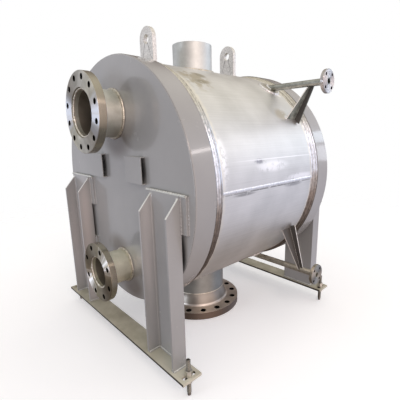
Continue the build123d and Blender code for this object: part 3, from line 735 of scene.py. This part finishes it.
# Levelling screws: a cut thread on a core with a turned down point and a recessed end
screwSettings = {"crest": 0.010, "root": 0.0087, "pitch": 0.0025, "foot": 0.014, "top": 0.172, "point": 0.008,
                 "crestFrom": 0.45, "crestTo": 0.55, "across": 0.5755, "along": 0.553, "steps": 20}


def makeScrews():
    crest, root, pitch = (screwSettings[key] for key in ("crest", "root", "pitch"))
    foot, top, point = (screwSettings[key] for key in ("foot", "top", "point"))
    tracePath([(root, 0, foot), (crest, 0, foot + screwSettings["crestFrom"] * pitch),
               (crest, 0, foot + screwSettings["crestTo"] * pitch), (root, 0, foot + pitch)])
    thread = bpy.context.active_object
    helix = thread.modifiers.new("helix", "SCREW")
    helix.axis = "Z"
    helix.screw_offset = pitch
    helix.iterations = round((top - foot) / pitch) - 2
    helix.steps = helix.render_steps = screwSettings["steps"]
    helix.use_merge_vertices = True
    bpy.ops.object.modifier_apply(modifier="helix")
    # Radius and height along the core, from the chamfered point to the recess in the top
    core = ((0, 0), (point - 0.002, 0), (point, 0.002), (point, foot - 0.001), (root + 0.0002, foot),
            (root + 0.0002, top - 0.006), (crest, top - 0.0045), (crest, top - 0.002), (root - 0.0005, top),
            (0.0056, top), (0.0050, top - 0.001), (0.0050, top - 0.007), (0, top - 0.009))
    spinProfile([(radius, 0, height) for radius, height in core], (0, 0, 0), (0, 0, 1), screwSettings["steps"])
    joinPieces([bpy.context.active_object, thread])
    bpy.ops.object.mode_set(mode="EDIT")
    bpy.ops.mesh.select_all(action="SELECT")
    bpy.ops.mesh.normals_make_consistent(inside=False)
    bpy.ops.object.mode_set(mode="OBJECT")
    first = bpy.context.active_object
    for endName, end in ends:
        for sideName, side in sides:
            copyTo(first, (side * screwSettings["across"], end * screwSettings["along"], 0))
            finishPiece(f"{endName}{sideName.title()}Screw", screwSteel, "screw_steel",
                        f"{endName}_{sideName}_levelling_screw")
    bpy.data.objects.remove(first)


makeScrews()

# Nuts: hexagons turned to a chamfer at both ends, one above and one below each foot
nutSettings = {"across": 0.030, "chamferRadius": 0.0148, "chamfer": 0.0022, "bore": 0.0101, "lead": 0.0012,
               "spare": 0.0004, "overlap": 0.01, "steps": 60, "nuts": ((0.095, 0.028), (0.065, 0.018))}


def makeNuts():
    chamfer, narrow, bore, lead = (nutSettings[key] for key in ("chamfer", "chamferRadius", "bore", "lead"))
    corner = nutSettings["across"] / math.sqrt(3)
    wide = corner + nutSettings["spare"]
    made = []
    for level, height in nutSettings["nuts"]:
        top = level + height
        turned = [(bore, 0, level), (narrow, 0, level), (wide, 0, level + chamfer), (wide, 0, top - chamfer),
                  (narrow, 0, top), (bore + lead, 0, top), (bore, 0, top - lead)]
        spinProfile(turned, (0, 0, 0), (0, 0, 1), nutSettings["steps"], closed=True)
        barrel = bpy.context.active_object
        bpy.ops.object.select_all(action="DESELECT")
        bpy.ops.mesh.primitive_cylinder_add(vertices=6, radius=corner, depth=height + nutSettings["overlap"],
                                            location=(0, 0, level + height / 2), rotation=(0, 0, math.pi / 6))
        hexagon = bpy.context.active_object
        bpy.context.view_layer.objects.active = barrel
        cut = barrel.modifiers.new("flats", "BOOLEAN")
        cut.operation = "INTERSECT"
        cut.object = hexagon
        bpy.ops.object.modifier_apply(modifier="flats")
        bpy.data.objects.remove(hexagon)
        for endName, end in ends:
            for sideName, side in sides:
                made.append(copyTo(barrel, (side * screwSettings["across"], end * screwSettings["along"], 0)))
        bpy.data.objects.remove(barrel)
    joinPieces(made)
    finishPiece("levellingNuts", nutSteel, "screw_steel", "levelling_nuts")


makeNuts()

# Broken edges of the plates, flanges and channels, so that they catch the light: width and nodes
edgeSettings = {0.0030: endPlates,
                0.0012: (*legs, *legPads, *basePlates, *brackets),
                0.0016: (*lugs, "top_nozzle_stub"),
                0.0008: ("upper_nozzle_flange", "lower_nozzle_flange", "bottom_nozzle_flange", "vent_flange",
                         "drain_flange", *braces)}
for width, names in edgeSettings.items():
    for name in names:
        weldUp = cadNodes[name].modifiers.new("mergeCorners", "WELD")
        weldUp.merge_threshold = 0.00001
        soften = cadNodes[name].modifiers.new("breakEdges", "BEVEL")
        soften.width = width
        soften.segments = 2
        soften.limit_method = "ANGLE"
        soften.angle_limit = math.radians(40)
        flatten = cadNodes[name].modifiers.new("keepFacesFlat", "WEIGHTED_NORMAL")
        flatten.weight = 80

# Camera at the photographed angle
cameraSettings = {"place": (1.4848, -1.2536, 1.0872), "turn": 45.665, "dip": 12.852, "roll": -0.647, "lens": 28.6,
                  "sensor": 36.0, "shift": (-0.0471, 0.0122)}


def addCamera():
    turn, dip, roll = (math.radians(cameraSettings[key]) for key in ("turn", "dip", "roll"))
    back = Vector((math.sin(turn) * math.cos(dip), -math.cos(turn) * math.cos(dip), math.sin(dip)))
    right = Vector((0, 0, 1)).cross(back).normalized()
    up = back.cross(right)
    rolledRight = right * math.cos(roll) + up * math.sin(roll)
    rolledUp = up * math.cos(roll) - right * math.sin(roll)
    data = bpy.data.cameras.new("camera")
    data.lens = cameraSettings["lens"]
    data.sensor_width = cameraSettings["sensor"]
    data.shift_x, data.shift_y = cameraSettings["shift"]
    camera = bpy.data.objects.new("camera", data)
    bpy.context.scene.collection.objects.link(camera)
    turned = Matrix((rolledRight, rolledUp, back)).transposed().to_4x4()
    camera.matrix_world = Matrix.Translation(cameraSettings["place"]) @ turned
    bpy.context.scene.camera = camera


def toward(azimuth, elevation):
    # Direction from the azimuth, measured from +X to +Y, and the height above the horizon, in degrees
    turn, rise = math.radians(azimuth), math.radians(elevation)
    return Vector((math.cos(turn) * math.cos(rise), math.sin(turn) * math.cos(rise), math.sin(rise)))


# Soft boxes: two windows behind on the right and a thin strip for the highlights on the rims,
# a tall door straight ahead for the turned flange faces and a broad key from the right.
# Each has azimuth and elevation in degrees, distance and size in metres, power in watts and colour
lightSettings = {
    "window": (65.2, 18, 7.0, (1.3, 0.8), 10.0, "#E4F1FF"),
    "lowWindow": (61, 8, 7.0, (0.8, 1.2), 8.0, "#EEF4FF"),
    "strip": (39.8, 23.9, 7.18, (1.5, 0.3), 12.0, "#FFF6F4"),
    "door": (-98, 1, 6.0, (0.8, 2.4), 64.0, "#E8F0FF"),
    "key": (-20, 30, 5.0, (1.2, 0.8), 25.0, "#FFEAE0"),
}


def addLights():
    middle = Vector((0, 0, axisHeight))
    for name, (azimuth, elevation, distance, size, power, colour) in lightSettings.items():
        data = bpy.data.lights.new(name, "AREA")
        data.shape = "RECTANGLE"
        data.size, data.size_y = size
        data.energy = power
        data.color = linear(colour)[:3]
        lamp = bpy.data.objects.new(name, data)
        bpy.context.scene.collection.objects.link(lamp)
        lamp.location = middle + toward(azimuth, elevation) * distance
        lamp.rotation_euler = (middle - lamp.location).to_track_quat("-Z", "Y").to_euler()


# Walls, ceiling and floor of the studio as broad soft fields of the surroundings, each fading out away from its middle:
# azimuth and elevation of the middle, cosines where the field starts and is full, strength and colour
surroundings = {
    "ambient": (0, 0, -1.5, -1.2, 0.2, "#FFE8DE"),
    "ceiling": (0, 90, 0.4, 0.9, 0.35, "#FFFAE4"),
    "frontRight": (-50, 3, 0.4, 0.95, 0.18, "#F2F6FF"),
    "right": (-12, 5, 0.5, 0.97, 1.12, "#FFEAE3"),
    "rearRight": (60, -2, 0.6, 0.98, 0.53, "#C6DCFF"),
    "frontLeft": (-156, 6, 0.75, 0.98, 0.56, "#ECF2FF"),
    "lowRear": (68, -36, 0.6, 0.97, 0.17, "#FFF0EA"),
    "highFront": (-120, 50, 0.5, 0.95, 0.42, "#FBFEFF"),
    "highRear": (70, 45, 0.6, 0.97, 0.5, "#FFFDF6"),
}
stageSettings = {"floor": "#F1F4F8", "floorGlow": 0.3, "floorRoughness": 0.9, "floorSize": 12.0,
                 "fadeFrom": 1.6, "fadeTo": 4.2, "backdrop": "#FFFFFF", "backdropStrength": 1.0}


def addSurroundings():
    world = bpy.data.worlds.new("studio")
    bpy.context.scene.world = world
    world.use_nodes = True
    tree = world.node_tree
    direction = addNode(tree, "TexCoord").outputs["Generated"]
    total = None
    for azimuth, elevation, start, full, strength, colour in surroundings.values():
        facing = addNode(tree, "VectorMath", {"operation": "DOT_PRODUCT", 1: toward(azimuth, elevation)},
                         {0: direction})
        fade = addNode(tree, "MapRange", {"interpolation_type": "SMOOTHSTEP", "From Min": start, "From Max": full,
                                          "To Max": strength}, {"Value": facing})
        field = addNode(tree, "VectorMath", {"operation": "SCALE", 0: linear(colour)[:3]}, {"Scale": fade})
        total = addNode(tree, "VectorMath", {"operation": "ADD"}, {0: total, 1: field}) if total else field
    glow = setNode(tree, tree.nodes["Background"], {}, {"Color": total})
    backdrop = addNode(tree, "Background", {"Color": linear(stageSettings["backdrop"]),
                                            "Strength": stageSettings["backdropStrength"]})
    path = addNode(tree, "LightPath")
    mix = addNode(tree, "MixShader", {}, {0: path.outputs["Is Camera Ray"], 1: glow, 2: backdrop})
    setNode(tree, tree.nodes["World Output"], {}, {"Surface": mix})


def addFloor():
    # Pale floor that fades into the backdrop, so no horizon shows
    bpy.ops.object.select_all(action="DESELECT")
    bpy.ops.mesh.primitive_plane_add(size=stageSettings["floorSize"])
    floor = bpy.context.active_object
    floor.name = "floor"
    material, tree, shader, place = startMaterial("paleFloor")
    tone = linear(stageSettings["floor"])
    setNode(tree, shader, {"Base Color": tone, "Roughness": stageSettings["floorRoughness"], "Emission Color": tone,
                           "Emission Strength": stageSettings["floorGlow"]})
    reach = addNode(tree, "VectorMath", {"operation": "LENGTH"}, {0: place})
    fade = addNode(tree, "MapRange", {"interpolation_type": "SMOOTHSTEP", "From Min": stageSettings["fadeFrom"],
                                      "From Max": stageSettings["fadeTo"]}, {"Value": reach})
    mix = addNode(tree, "MixShader", {}, {0: fade, 1: shader, 2: addNode(tree, "BsdfTransparent")})
    setNode(tree, tree.nodes["Material Output"], {}, {"Surface": mix})
    floor.data.materials.append(material)
    floor.visible_diffuse = floor.visible_glossy = floor.visible_shadow = False


addCamera()
addLights()
addSurroundings()
addFloor()
bpy.context.scene.view_settings.view_transform = "Standard"
print("camera, light and floor set")
